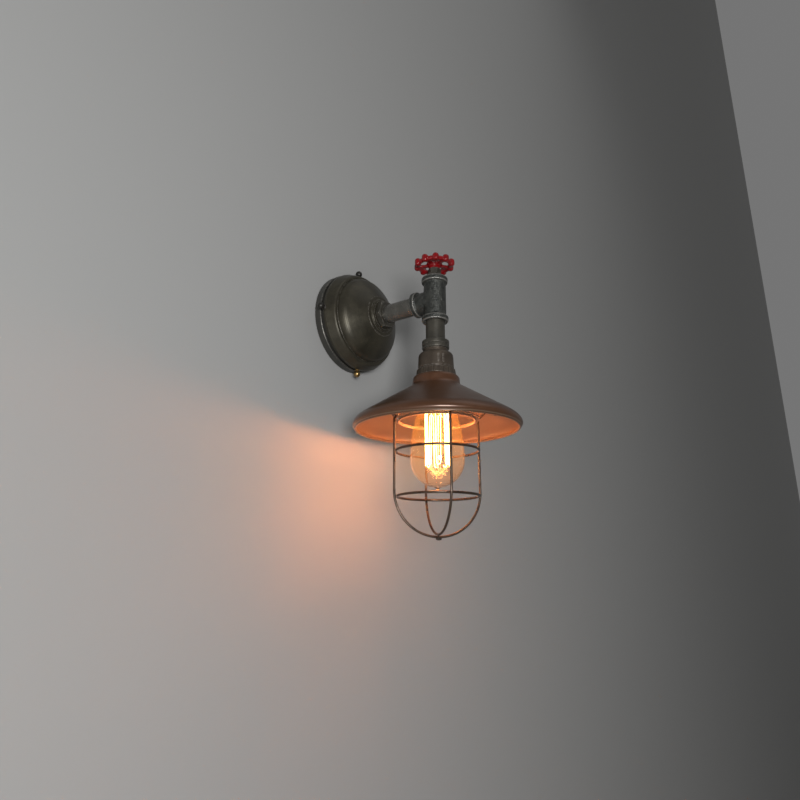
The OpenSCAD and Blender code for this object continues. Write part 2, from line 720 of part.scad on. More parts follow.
// Handwheel: a round rim with lobes, spokes that rise from the hub, and a bored hub
module handwheel() {
    lobe_r = wheel_d / 2 - lobe_d / 2;
    ring_r = lobe_r - lobe_out;
    lobe_z = wheel_z + lobe_rise;
    color("#b3131b")
        on_drop() rotate(wheel_turn) difference() {
            union() {
                translate([0, 0, wheel_z])
                    rotate_extrude() translate([ring_r, 0]) circle(r = wheel_rim_t / 2, $fn = 24);
                for (i = [0:lobe_count - 1]) rotate(360 * i / lobe_count) translate([lobe_r, 0, 0])
                    turned(ring_box(0, lobe_d / 2, lobe_z - lobe_h / 2, lobe_z + lobe_h / 2, lobe_d * 0.4));
                for (i = [0:spoke_count - 1])
                    rotate(360 * i / spoke_count) spoke(hub_top_z - spoke_t, ring_r);
                turned([[0, hub_low_z], [hub_d / 2 - 0.8, hub_low_z], [hub_d / 2, hub_low_z + 0.8],
                    [hub_d / 2, hub_low_z + 2.6], [hub_top_d / 2, hub_top_z - 2],
                    [hub_top_d / 2, hub_top_z - 0.8], [hub_top_d / 2 - 0.8, hub_top_z], [0, hub_top_z]]);
            }
            translate([0, 0, hub_low_z - cut])
                cylinder(r = stem_r + thread_gap, h = hub_top_z - hub_low_z + 2 * cut);
        }
}

module wheel_washer() {
    color("#9a958a") on_drop() tube(stem_r + 2.4, stem_r - 1 + thread_gap, hub_top_z, hub_top_z + 1);
}
module wheel_nut() {
    color("#9a958a") on_drop() hex_nut(stem_d + 1.5, nut_h, stem_r - 1 + thread_gap, hub_top_z + 1);
}

module drop_nipple() {
    color("#5c5a56") on_drop() tube(pipe_r, water_r, nipple_end_z, -tee_half + socket_depth);
}

// Collar on the drop: two rounded beads side by side
module drop_collar() {
    b = drop_collar_d / 2;
    h = collar_bead_h;
    z = collar_low_z;
    color("#403d3a")
        on_drop() turned(concat([[socket_r, z]],
            bend([b - cast_round - 0.8, z], [b, z], [b, z + cast_round + 0.4], 4),
            bend([b, z + h - cast_round], [b, z + h], [b - 1.1, z + h], 4),
            bend([b - 1.1, z + h + 0.1], [b, z + h + 0.1], [b, z + h + cast_round], 4),
            bend([b, z + 2 * h - cast_round], [b, z + 2 * h], [b - cast_round, z + 2 * h], 4),
            [[socket_r, z + 2 * h]]));
}

// Socket cup: a cast bell with a neck, a rounded shoulder and two pairs of grip ribs
module socket_cup() {
    r0 = cup_top_d / 2;
    r1 = cup_low_d / 2;
    lip_r = r1 - 0.9;
    outer = concat([[socket_r, collar_low_z], [neck_d / 2, collar_low_z], [neck_d / 2, shoulder_z + 1]],
        bend([neck_d / 2, shoulder_z + 0.4], [neck_d / 2, shoulder_z], [neck_d / 2 + 0.8, shoulder_z], 3),
        bend([neck_d / 2 + 1.4, shoulder_z - 0.1], [r0 - 0.3, shoulder_z - 0.4], [r0, shoulder_z - 5.2], 6),
        [[r1, cup_low_z + 0.5], [r1 - 0.4, cup_low_z], [lip_r, cup_low_z], [lip_r, band_top_z - 1.3]]);
    inner = concat([[lip_r - cup_t, band_top_z - 1.3], [lip_r - cup_t, cup_low_z + 1]],
        [[cup_in_r, shoulder_z - 5.6]],
        bend([cup_in_r - 0.1, shoulder_z - 4.8], [cup_in_r - 0.4, seat_z], [cup_in_r - 3, seat_z], 4),
        [[socket_r, seat_z]]);
    color("#4b443c")
        on_drop() union() {
            turned(concat(outer, inner));
            for (a = [0, 180]) rotate(guard_turn + a) for (s = [-1, 1])
                translate([r0 - 0.9, s * 2.6 - 0.7, cup_low_z + 3]) cube([1.6, 1.4, cup_h - 9]);
        }
}

// Sleeve: the threaded shell of the lampholder, closed at its top round the drop
module holder_sleeve() {
    line = concat([[socket_r, seat_z - 0.02]],
        bend([sleeve_r - 2.6, seat_z - 0.02], [sleeve_r, seat_z - 0.02], [sleeve_r, seat_z - 3], 5),
        [[sleeve_r, sleeve_low_z], [sleeve_lip_r, sleeve_low_z], [sleeve_lip_r, porcelain_low_z - 0.02],
            [sleeve_in_r, porcelain_low_z - 0.02]],
        bend([sleeve_in_r, seat_z - 3.4], [sleeve_in_r, seat_z - sleeve_t],
            [sleeve_r - 3.4, seat_z - sleeve_t], 5),
        [[socket_r, seat_z - sleeve_t]]);
    color("#8f8f8a") on_drop() turned(line);
}

module holder_locknut() {
    color("#8f8f8a") on_drop() hex_nut(lock_nut_af, lock_nut_h, socket_r, seat_z - sleeve_t - lock_nut_h);
}

module porcelain_holder() {
    hole_r = shell_r + thread_gap;
    color("#ece6d8")
        on_drop() difference() {
            turned([[0, porcelain_top_z], [porcelain_r - 1, porcelain_top_z],
                [porcelain_r, porcelain_top_z - 1],
                [porcelain_r, porcelain_low_z], [hole_r - 0.4, porcelain_low_z],
                [hole_r - 0.4, porcelain_low_z + 1],
                [hole_r, porcelain_low_z + 1], [hole_r, well_z], [0, well_z]]);
            for (s = [-1, 1]) translate([s * terminal_off, 0, well_z - cut])
                cylinder(r = 1.3, h = porcelain_floor + 2 * cut);
        }
}

module holder_terminals() {
    color("#b08d3c")
        on_drop() for (s = [-1, 1])
            translate([s * terminal_off, 0, well_z + 0.1]) cylinder(r = 1.2, h = porcelain_floor - 0.2);
}

module screw_shell() {
    r = shell_r;
    z0 = porcelain_low_z + 1.05;
    z1 = well_z - 0.05;
    turns = 6;
    step = (z1 - z0 - 1) / turns;
    line = concat([[r, z0]], [for (i = [0:turns - 1]) for (k = [0:3])
        [r - shell_wave * [0, 0.6, 1, 0.6][k], z0 + 0.5 + step * (i + k / 4)]], [[r, z1 - 0.5], [r, z1]]);
    color("#b08d3c") on_drop() turned(sheet(line, -shell_t));
}

module centre_contact() {
    color("#b08d3c")
        on_drop() turned([[0, well_z - contact_h], [3.2, well_z - contact_h], [3.6, well_z - contact_h + 0.4],
            [3.6, well_z - 0.02], [0, well_z - 0.02]]);
}

// Clamp ring: a slightly conical band that holds the shade up against the cup
module clamp_ring() {
    cup_lip_r = cup_low_d / 2 - 0.9 + thread_gap;
    r0 = band_top_d / 2;
    r1 = band_low_d / 2;
    color("#4b443c")
        on_drop() turned(concat([[sleeve_r + thread_gap, shade_top_z]],
            bend([r1 - 0.8, shade_top_z], [r1, shade_top_z], [r1, shade_top_z + 0.9], 4),
            bend([r0, band_top_z - 0.9], [r0, band_top_z], [r0 - 0.8, band_top_z], 4),
            [[cup_lip_r, band_top_z], [cup_lip_r, band_top_z - 1.4],
                [sleeve_r + thread_gap, band_top_z - 1.4]]));
}

// Outer line of the shade from the hole in its top to its rim
function shade_line() =
    let (r = shade_d / 2, n = shade_neck_d / 2, z0 = shade_top_z - 0.02, k = cone_foot,
         turn_r = r - 9, end_r = r - shade_curl - 0.15, skirt_z = rim_z + shade_skirt)
    concat([[sleeve_r + thread_gap, z0]],
        bend([n - 3.4, z0], [n - 0.6, z0], [n, z0 - 3.4], 5),
        bend([n + 0.4, k.y + 4.4], [n + 0.8, k.y + 1.1], k + [1, -tan(shade_slope)], 6),
        bend([turn_r, cone_z(turn_r)], [r, cone_z(r)], [r, skirt_z], 8),
        tail(bend([r, skirt_z], [r, skirt_z - 1.6], [end_r, rim_z + shade_roll_d / 2], 4)));

module shade() {
    roll = shade_roll_d / 2;
    color("#5a4c40")
        on_drop() union() {
            turned(sheet(shade_line(), shade_t));
            rotate_extrude() translate([shade_d / 2 - shade_curl - roll, rim_z + roll])
                circle(r = roll, $fn = 24);
        }
}

// Nut under the shade's top, with notches for a ring key
module shade_nut() {
    top = shade_top_z - 0.02 - shade_t - 0.02;
    color("#8f8f8a")
        on_drop() difference() {
            tube(shade_nut_d / 2, sleeve_r + thread_gap, top - shade_nut_h, top);
            for (i = [0:5]) rotate(60 * i)
                translate([shade_nut_d / 2 - 1.6, -2, top - shade_nut_h - cut])
                    cube([4, 4, shade_nut_h + 2 * cut]);
        }
}

module bulb_cap() {
    r = cap_d / 2;
    turns = 6;
    step = (cap_l - 5) / turns;
    line = concat([[5.5, cap_top_z], [r - 1.6, cap_top_z - 0.2], [r - 0.5, cap_top_z - 1.4]],
        [for (i = [0:turns - 1]) for (k = [0:3])
            [r - [0.4, 0.15, 0, 0.15][k], cap_top_z - 2 - step * (i + k / 4)]],
        [[r - 0.5, cap_low_z + 2.6], [r - 0.3, cap_low_z]]);
    color("#c2a35a") on_drop() turned(sheet(line, 0.3));
}

module cap_insulator() {
    color("#1c1c1e")
        on_drop() turned([[0, cap_top_z + 0.02], [5.4, cap_top_z + 0.02], [4.4, cap_tip_z - 0.8],
            [0, cap_tip_z - 0.8]]);
}

module cap_contact() {
    color("#b9b9b4")
        on_drop() turned(concat([[0, cap_tip_z - 0.78]],
            arc([3.4, cap_tip_z - 0.78], [0, cap_tip_z], 0.3, 5)));
}

// Outer line of the glass from its neck to its pip
function glass_line() =
    let (r = bulb_d / 2, z = bulb_mid_z, low = bulb_low_z + pip_h, neck_r = bulb_neck_d / 2,
         neck_z = cap_low_z - 1.2)
    concat([[neck_r - 0.6, cap_low_z - 0.02]],
        reversed(cubic([r, z], [r, z + r * 1.3], [neck_r + bulb_flare_w, neck_z - bulb_flare_l],
            [neck_r, neck_z], 12)),
        [for (i = [1:9]) [r * cos(9 * i), z - r * sin(9 * i)]],
        bend([2.2, low - 0.5], [0.9, low - 1.6], [0.8, bulb_low_z + 0.5], 3), [[0.4, bulb_low_z]]);

module bulb_glass() {
    outer = concat(glass_line(), [[0, bulb_low_z]]);
    floor_z = bulb_low_z + pip_h + glass_t;
    inner = [for (p = reversed(moved(glass_line(), glass_t))) if (p.y > floor_z && p.x > 0.4) p];
    color([0.95, 0.82, 0.6, 0.35])
        on_drop() turned(concat(outer, [[0, floor_z]], inner));
}

// Stem: the glass flare that closes the neck, and the rod that carries the filament's hooks
module bulb_stem() {
    top = cap_low_z - 2;
    color([0.9, 0.9, 0.85, 0.6])
        on_drop() turned([[0, top], [bulb_in_r - 0.05, top], [bulb_in_r - 0.05, top - 0.9], [6, top - 4],
            [3.4, top - 10], [2.2, top - 14], [1.5, filament_top_z + 4], [button_r, filament_top_z + 2.6],
            [button_r, filament_top_z - 1], [1.4, filament_top_z - 2.4], [1.2, spider_z + 3],
            [button_r, spider_z + 1.5], [button_r, spider_z - 1.5], [0.8, spider_z - 3], [0, spider_z - 3]]);
}

function hook_angle(i) = 360 * i / strand_count + strand_turn;

// Hooks: thin wires from the rod's two buttons out to the bends of the filament
module filament_hooks() {
    r = filament_cage_d / 2 - filament_t / 2 - 0.15;
    color("#9a9a92")
        on_drop() for (i = [0:strand_count - 1]) rotate(hook_angle(i)) {
            up = i % 2 == 0;
            z = up ? filament_top_z : filament_low_z;
            hub_z = up ? filament_top_z + 0.8 : spider_z;
            start = [button_r + 0.05, 0, hub_z];
            reach_out = [r, 0, z] - start;
            translate(start) rotate([0, atan2(reach_out.x, reach_out.z), 0])
                cylinder(r = 0.2, h = norm(reach_out), $fn = 16);
        }
}

// Filament: one unbroken thread that runs up and down between the hooks
module filament() {
    r = filament_cage_d / 2;
    half = 180 / strand_count;
    bends = [for (i = [0:strand_count - 1])
        let (s = i % 2 == 0 ? 1 : -1, z = s > 0 ? filament_top_z : filament_low_z)
        for (k = [-2:2]) let (a = hook_angle(i) + half * 0.86 * sin(k * 45))
            [r * cos(a), r * sin(a), z + s * 2.2 * (cos(k * 45) - 1)]];
    refs = [for (p = bends) [p.x, p.y, 0]];
    color("#ffb74a") on_drop() swept(bends, refs, filament_t / 2, 6);
}

function cone_z(r) = cone_foot.y - (r - cone_foot.x) * tan(shade_slope);

// One strip: a foot on the mounting ring, a leg that leans out, and a tab under the cone
module guard_strip() {
    lean = strip_t / cos(shade_slope);
    low_z = cone_z(strip_r) - shade_t / cos(shade_slope) - 0.15 - lean;
    foot_z = ring_z + 0.02;
    line = [[ring_r - ring_w + 0.3, foot_z], [ring_r + 0.1, foot_z], [ring_r + 1.1, foot_z + 0.8],
        [strip_r - 1.5, low_z - 0.6], [strip_r, low_z], [strip_r + 8, low_z - 8 * tan(shade_slope)]];
    rotate([90, 0, 0]) translate([0, 0, -strip_w / 2])
        linear_extrude(strip_w) polygon(sheet(line, -strip_t));
}

module guard_strips() {
    color("#4a4139")
        on_drop() for (i = [0:wire_count - 1]) rotate(guard_turn + 90 * i) difference() {
            guard_strip();
            translate([ring_screw_r, 0, ring_z - cut])
                cylinder(r = ring_screw_d / 2 + 0.1, h = strip_t + 3 * cut);
        }
}

module guard_ring() {
    hole_r = ring_r - ring_w;
    color("#5a4f45")
        on_drop() difference() {
            turned([[ring_r, ring_z], [ring_r, ring_z - ring_t],
                [hole_r + ring_t, ring_z - ring_t], [hole_r + ring_t, ring_z - ring_lip],
                [hole_r, ring_z - ring_lip], [hole_r, ring_z - 0.8], [hole_r + 0.8, ring_z]]);
            for (i = [0:wire_count - 1]) rotate(guard_turn + 90 * i)
                translate([ring_screw_r, 0, ring_z - ring_t - cut])
                    cylinder(r = ring_screw_d / 2 + 0.1, h = ring_t + 2 * cut);
        }
}

module ring_screws() {
    color("#8f8f8a")
        on_drop() for (i = [0:wire_count - 1]) rotate(guard_turn + 90 * i)
            translate([ring_screw_r, 0, ring_z - ring_t - 0.02]) rotate([180, 0, 0])
                pan_screw(ring_screw_d, ring_screw_d + 1, 1.3, ring_t + strip_t + 2.6);
}

module ring_nuts() {
    color("#8f8f8a")
        on_drop() for (i = [0:wire_count - 1]) rotate(guard_turn + 90 * i)
            translate([ring_screw_r, 0, 0]) rotate(30)
                hex_nut(ring_screw_d + 1.4, 1.6, ring_screw_d / 2 + thread_gap, ring_z + strip_t + 0.04);
}

// A guard wire: two straight legs joined by half a ring under the bulb
module guard_wire(turn, leg_z) {
    color("#6d6458")
        on_drop() rotate(turn) union() {
            for (s = [-1, 1])
                translate([s * guard_r, 0, leg_z]) cylinder(r = wire_r, h = ring_z - leg_z, $fn = 24);
            translate([0, 0, leg_z]) rotate([-90, 0, 0])
                rotate_extrude(angle = 180) translate([guard_r, 0]) circle(r = wire_r, $fn = 24);
        }
}
module guard_wire_inner() { guard_wire(guard_turn, turn_z[0]); }
module guard_wire_outer() { guard_wire(guard_turn + 90, turn_z[1]); }

// Radius of the inner wire at height z
function wire_at(z) = z > turn_z[0] ? guard_r : sqrt(guard_r * guard_r - (turn_z[0] - z) * (turn_z[0] - z));

module hoop(z) {
    r = wire_at(z - wire_r) - wire_d - 0.02;
    color("#6d6458")
        on_drop() translate([0, 0, z]) rotate_extrude() translate([r, 0]) circle(r = wire_r, $fn = 24);
}
module upper_hoop() { hoop(hoop_z[0]); }
module lower_hoop() { hoop(hoop_z[1]); }

module guard_button() {
    z = guard_low_z - wire_r - 0.02;
    color("#6d6458")
        on_drop() turned(concat([[0, z], [3, z]], bend([3.2, z - 0.3], [3, z - 2], [0, z - 2.1], 5)));
}

wall_plate();
cable_grommet();
terminal_block();
terminal_screws();
block_screws();
earth_screw();
earth_lead();
live_lead();
neutral_lead();
canopy_cover();
thumb_screw_top();
thumb_screw_right();
thumb_screw_bottom();
thumb_screw_left();
inner_washer();
inner_locknut();
outer_washer();
arm_nut();
arm_pipe();
pipe_tee();
top_plug();
gland_nut();
wheel_spindle();
spindle_clip();
handwheel();
wheel_washer();
wheel_nut();
drop_nipple();
drop_collar();
socket_cup();
holder_sleeve();
holder_locknut();
porcelain_holder();
holder_terminals();
screw_shell();
centre_contact();
clamp_ring();
shade();
shade_nut();
bulb_cap();
cap_insulator();
cap_contact();
bulb_glass();
bulb_stem();
filament_hooks();
filament();
guard_strips();
guard_ring();
ring_screws();
ring_nuts();
guard_wire_inner();
guard_wire_outer();
upper_hoop();
lower_hoop();
guard_button();
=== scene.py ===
# %% [markdown]
# A wall light made of pipe fittings. The part is already built as exact solids, and this script dresses
# them: it gives each one its finish, and remakes the two whose real surface is softer than a plain solid,
# the cast tee and the cast handwheel. All sizes are in metres, in the frame of the solids: the wall is the
# plane y = 0, the arm points to -Y and +Z is up.

# %% Load the solids
import json
import math
import bmesh
import bpy
from mathutils import Matrix, Vector, noise


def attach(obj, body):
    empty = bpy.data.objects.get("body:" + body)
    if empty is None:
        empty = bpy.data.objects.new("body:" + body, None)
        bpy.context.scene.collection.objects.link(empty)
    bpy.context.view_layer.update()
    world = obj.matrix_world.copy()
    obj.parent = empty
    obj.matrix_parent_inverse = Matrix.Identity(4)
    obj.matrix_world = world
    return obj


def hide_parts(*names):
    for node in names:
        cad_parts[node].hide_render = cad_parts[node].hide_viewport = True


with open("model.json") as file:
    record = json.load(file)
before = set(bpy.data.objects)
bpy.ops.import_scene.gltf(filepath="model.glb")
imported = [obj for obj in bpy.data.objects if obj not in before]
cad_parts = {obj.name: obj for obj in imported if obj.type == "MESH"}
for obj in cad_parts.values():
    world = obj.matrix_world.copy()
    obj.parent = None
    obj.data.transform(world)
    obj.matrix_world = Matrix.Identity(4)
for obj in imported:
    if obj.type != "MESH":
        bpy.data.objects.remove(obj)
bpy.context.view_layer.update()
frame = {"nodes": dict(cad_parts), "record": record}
solids = frame["nodes"]
MM = 0.001

# %% [markdown]
# The camera stands where the photograph was taken: to the left of the lamp, below the arm and about
# 65 centimetres from it, tilted up. Its place and its lens were worked out from the photograph, by
# fitting circles such as the canopy's, the shade's rim and the guard's hoops.

# %% Camera
EYE = Vector((-0.5264, -0.4680, -0.2824))
YAW = 0.934
PITCH = 0.260
LENS_MM = 27.09
level = math.cos(PITCH)
forward = Vector((math.sin(YAW) * level, math.cos(YAW) * level, math.sin(PITCH)))
right = Vector((math.cos(YAW), -math.sin(YAW), 0))
up = right.cross(forward)
camera = bpy.data.objects.new("camera", bpy.data.cameras.new("camera"))
camera.data.lens = LENS_MM
camera.data.clip_start = 0.01
camera.matrix_world = Matrix((
    (right.x, up.x, -forward.x, EYE.x),
    (right.y, up.y, -forward.y, EYE.y),
    (right.z, up.z, -forward.z, EYE.z),
    (0, 0, 0, 1)))
bpy.context.collection.objects.link(camera)
bpy.context.scene.camera = camera
print("camera looks", [round(v, 3) for v in forward])

# %% [markdown]
# A finish is a small network of nodes. Writing each node out in full hides what the network does, so two
# short helpers do the work: one adds a node and sets or links its inputs, the other starts a material.

# %% Helpers for nodes
def add_node(tree, kind, inputs=None, **settings):
    node = tree.nodes.new(kind)
    for name, value in settings.items():
        setattr(node, name, value)
    for name, value in (inputs or {}).items():
        if isinstance(value, bpy.types.NodeSocket):
            tree.links.new(value, node.inputs[name])
        else:
            node.inputs[name].default_value = value
    return node


def new_material(name, colour, roughness, metallic=0.0):
    material = bpy.data.materials.new(name)
    material.use_nodes = True
    shader = material.node_tree.nodes["Principled BSDF"]
    shader.inputs["Base Color"].default_value = (*colour, 1)
    shader.inputs["Roughness"].default_value = roughness
    shader.inputs["Metallic"].default_value = metallic
    return material, material.node_tree, shader


def math_node(tree, operation, a, b=0.0):
    return add_node(tree, "ShaderNodeMath", {0: a, 1: b}, operation=operation).outputs[0]


def mix_colour(tree, factor, a, b):
    node = add_node(tree, "ShaderNodeMix", data_type="RGBA", clamp_factor=True)
    for socket, value in ((node.inputs[0], factor), (node.inputs[6], a), (node.inputs[7], b)):
        if isinstance(value, bpy.types.NodeSocket):
            tree.links.new(value, socket)
        else:
            socket.default_value = value if isinstance(value, float) else (*value, 1)
    return node.outputs[2]


def new_group(name, inputs, outputs):
    group = bpy.data.node_groups.new(name, "ShaderNodeTree")
    for label, kind, value in inputs:
        socket = group.interface.new_socket(label, in_out="INPUT", socket_type="NodeSocket" + kind)
        if value is not None:
            socket.default_value = value
    for label, kind in outputs:
        group.interface.new_socket(label, in_out="OUTPUT", socket_type="NodeSocket" + kind)
    return group, group.nodes.new("NodeGroupInput").outputs, group.nodes.new("NodeGroupOutput").inputs


def use_group(tree, group, inputs):
    node = tree.nodes.new("ShaderNodeGroup")
    node.node_tree = group
    for name, value in inputs.items():
        if isinstance(value, bpy.types.NodeSocket):
            tree.links.new(value, node.inputs[name])
        else:
            node.inputs[name].default_value = value
    return node.outputs


def placed(tree, centre=(0, 0, 0), turn=(0, 0, 0)):
    """The surface's own coordinates, in metres, measured from centre and turned"""
    here = add_node(tree, "ShaderNodeTexCoord").outputs["Object"]
    shift = [-v for v in centre]
    moved = add_node(tree, "ShaderNodeMapping", {"Vector": here, "Location": shift}).outputs[0]
    return add_node(tree, "ShaderNodeMapping", {"Vector": moved, "Rotation": turn}).outputs[0]


print("helpers ready")

# %% [markdown]
# Four effects recur on this lamp, so each is a node group that is built once. Lacquer is never one even
# colour: it has faint cloudy patches and fine specks. A sand casting has a grainy skin with small pits.
# Spun sheet keeps fine rings from the tool that pressed it. Edges are rubbed brighter than faces.

# %% Patches and specks
patches, source, sink = new_group(
    "patches",
    [("Vector", "Vector", None), ("Patch size", "Float", 0.02), ("Speck size", "Float", 0.0012)],
    [("Patch", "Float"), ("Speck", "Float")])
patch_scale = math_node(patches, "DIVIDE", 1.0, source["Patch size"])
speck_scale = math_node(patches, "DIVIDE", 1.0, source["Speck size"])
cloud = add_node(patches, "ShaderNodeTexNoise", {
    "Vector": source["Vector"], "Scale": patch_scale, "Detail": 4.0, "Roughness": 0.6,
    "Distortion": 0.4}).outputs[0]
speck = add_node(patches, "ShaderNodeTexNoise", {
    "Vector": source["Vector"], "Scale": speck_scale, "Detail": 2.0, "Roughness": 0.7}).outputs[0]
soft = add_node(patches, "ShaderNodeMapRange", {
    "Value": cloud, "From Min": 0.35, "From Max": 0.68}).outputs[0]
hard = add_node(patches, "ShaderNodeMapRange", {
    "Value": speck, "From Min": 0.42, "From Max": 0.62}).outputs[0]
patches.links.new(soft, sink["Patch"])
patches.links.new(hard, sink["Speck"])
print("patches:", len(patches.nodes), "nodes")

# %% Cast grain
cast_grain, source, sink = new_group(
    "cast_grain", [("Vector", "Vector", None), ("Grain size", "Float", 0.0012)],
    [("Height", "Float"), ("Pit", "Float")])
grain_scale = math_node(cast_grain, "DIVIDE", 1.0, source["Grain size"])
pit_scale = math_node(cast_grain, "MULTIPLY", grain_scale, 0.28)
grain = add_node(cast_grain, "ShaderNodeTexNoise", {
    "Vector": source["Vector"], "Scale": grain_scale, "Detail": 3.0, "Roughness": 0.65}).outputs[0]
hollow = add_node(cast_grain, "ShaderNodeTexVoronoi", {"Vector": source["Vector"], "Scale": pit_scale},
                  feature="SMOOTH_F1").outputs["Distance"]
pit = add_node(cast_grain, "ShaderNodeMapRange", {
    "Value": hollow, "From Min": 0.05, "From Max": 0.3, "To Min": 1.0, "To Max": 0.0}).outputs[0]
height = math_node(cast_grain, "SUBTRACT", grain, math_node(cast_grain, "MULTIPLY", pit, 0.5))
cast_grain.links.new(height, sink["Height"])
cast_grain.links.new(pit, sink["Pit"])
print("cast grain:", len(cast_grain.nodes), "nodes")

# %% Rings left by spinning, about the Z axis of the coordinates it is given
spun_rings, source, sink = new_group(
    "spun_rings", [("Vector", "Vector", None), ("Ring size", "Float", 0.0008)], [("Height", "Float")])
parts = add_node(spun_rings, "ShaderNodeSeparateXYZ", {"Vector": source["Vector"]}).outputs
flat = add_node(spun_rings, "ShaderNodeCombineXYZ", {"X": parts["X"], "Y": parts["Y"]}).outputs[0]
radius = add_node(spun_rings, "ShaderNodeVectorMath", {0: flat}, operation="LENGTH").outputs["Value"]
profile = add_node(spun_rings, "ShaderNodeCombineXYZ", {"X": radius, "Y": parts["Z"]}).outputs[0]
ring_scale = math_node(spun_rings, "DIVIDE", 1.0, source["Ring size"])
rings = add_node(spun_rings, "ShaderNodeTexNoise", {
    "Vector": profile, "Scale": ring_scale, "Detail": 2.0, "Roughness": 0.6},
    noise_dimensions="2D").outputs[0]
spun_rings.links.new(rings, sink["Height"])
print("spun rings:", len(spun_rings.nodes), "nodes")

# %% Rubbed edges
rubbed_edges, source, sink = new_group(
    "rubbed_edges", [("Width", "Float", 0.0008), ("Break", "Float", 0.38), ("Amount", "Float", 1.0)],
    [("Mask", "Float")])
rounded = add_node(rubbed_edges, "ShaderNodeBevel", {"Radius": source["Width"]}, samples=6).outputs[0]
true_normal = add_node(rubbed_edges, "ShaderNodeNewGeometry").outputs["Normal"]
agree = add_node(rubbed_edges, "ShaderNodeVectorMath", {0: rounded, 1: true_normal},
                 operation="DOT_PRODUCT").outputs["Value"]
bent = add_node(rubbed_edges, "ShaderNodeMapRange", {
    "Value": agree, "From Min": 0.995, "From Max": 0.90}).outputs[0]
here = add_node(rubbed_edges, "ShaderNodeTexCoord").outputs["Object"]
chips = add_node(rubbed_edges, "ShaderNodeTexNoise", {
    "Vector": here, "Scale": 420.0, "Detail": 3.0}).outputs[0]
kept = add_node(rubbed_edges, "ShaderNodeMapRange", {
    "Value": chips, "From Min": source["Break"], "From Max": 0.62}).outputs[0]
chipped = math_node(rubbed_edges, "MULTIPLY", bent, kept)
mask = math_node(rubbed_edges, "MULTIPLY", chipped, source["Amount"])
rubbed_edges.links.new(mask, sink["Mask"])
print("rubbed edges:", len(rubbed_edges.nodes), "nodes")

# %% [markdown]
# Two effects follow a shape instead of an edge. On the castings, which have no sharp edges left, the mesh
# itself carries a value for how far each point stands out, and there the colour turns paler: partly thin,
# worn paint, partly a painted highlight on the rounded bands. Round the clamping ring runs a row of small
# notches, which only the surface shows, so they are drawn in its height.

# %% Worn places of a casting, with a painted highlight
worn_and_highlit_places, source, sink = new_group(
    "worn_and_highlit_places", [("Vector", "Vector", None), ("Amount", "Float", 1.0)], [("Mask", "Float")])
stands_out = add_node(worn_and_highlit_places, "ShaderNodeAttribute", attribute_name="stands_out").outputs["Fac"]
scratches = add_node(worn_and_highlit_places, "ShaderNodeTexNoise", {
    "Vector": source["Vector"], "Scale": 380.0, "Detail": 4.0, "Roughness": 0.7}).outputs[0]
ragged = math_node(worn_and_highlit_places, "ADD", stands_out, math_node(worn_and_highlit_places, "MULTIPLY", scratches, 0.7))
thin = add_node(worn_and_highlit_places, "ShaderNodeMapRange", {
    "Value": ragged, "From Min": 0.75, "From Max": 1.35}).outputs[0]
worn_and_highlit_places.links.new(math_node(worn_and_highlit_places, "MULTIPLY", thin, source["Amount"]), sink["Mask"])
print("worn places:", len(worn_and_highlit_places.nodes), "nodes")

# %% Notches round a ring, about the Z axis of the coordinates it is given
notches, source, sink = new_group(
    "notches", [("Vector", "Vector", None), ("Count", "Float", 20.0), ("Share", "Float", 0.16)],
    [("Height", "Float")])
parts = add_node(notches, "ShaderNodeSeparateXYZ", {"Vector": source["Vector"]}).outputs
angle = math_node(notches, "ARCTAN2", parts["Y"], parts["X"])
turns = math_node(notches, "DIVIDE", angle, 2 * math.pi)
steps = math_node(notches, "MULTIPLY", turns, source["Count"])
offset = math_node(notches, "SUBTRACT", math_node(notches, "FRACT", steps), 0.5)
along = math_node(notches, "ABSOLUTE", offset)
bottom = math_node(notches, "MULTIPLY", source["Share"], 0.4)
cut = add_node(notches, "ShaderNodeMapRange", {
    "Value": along, "From Min": bottom, "From Max": source["Share"]}).outputs[0]
notches.links.new(cut, sink["Height"])
print("notches:", len(notches.nodes), "nodes")

# %% [markdown]
# Most of the lamp wears one family of finish: a dark gunmetal lacquer with a brown cast, satin, a little
# metallic, rubbed on its edges. One function makes it, and each piece gets its own shade, gloss and grain.

# %% Lacquer on metal
WORN_STEEL = (0.42, 0.39, 0.35)


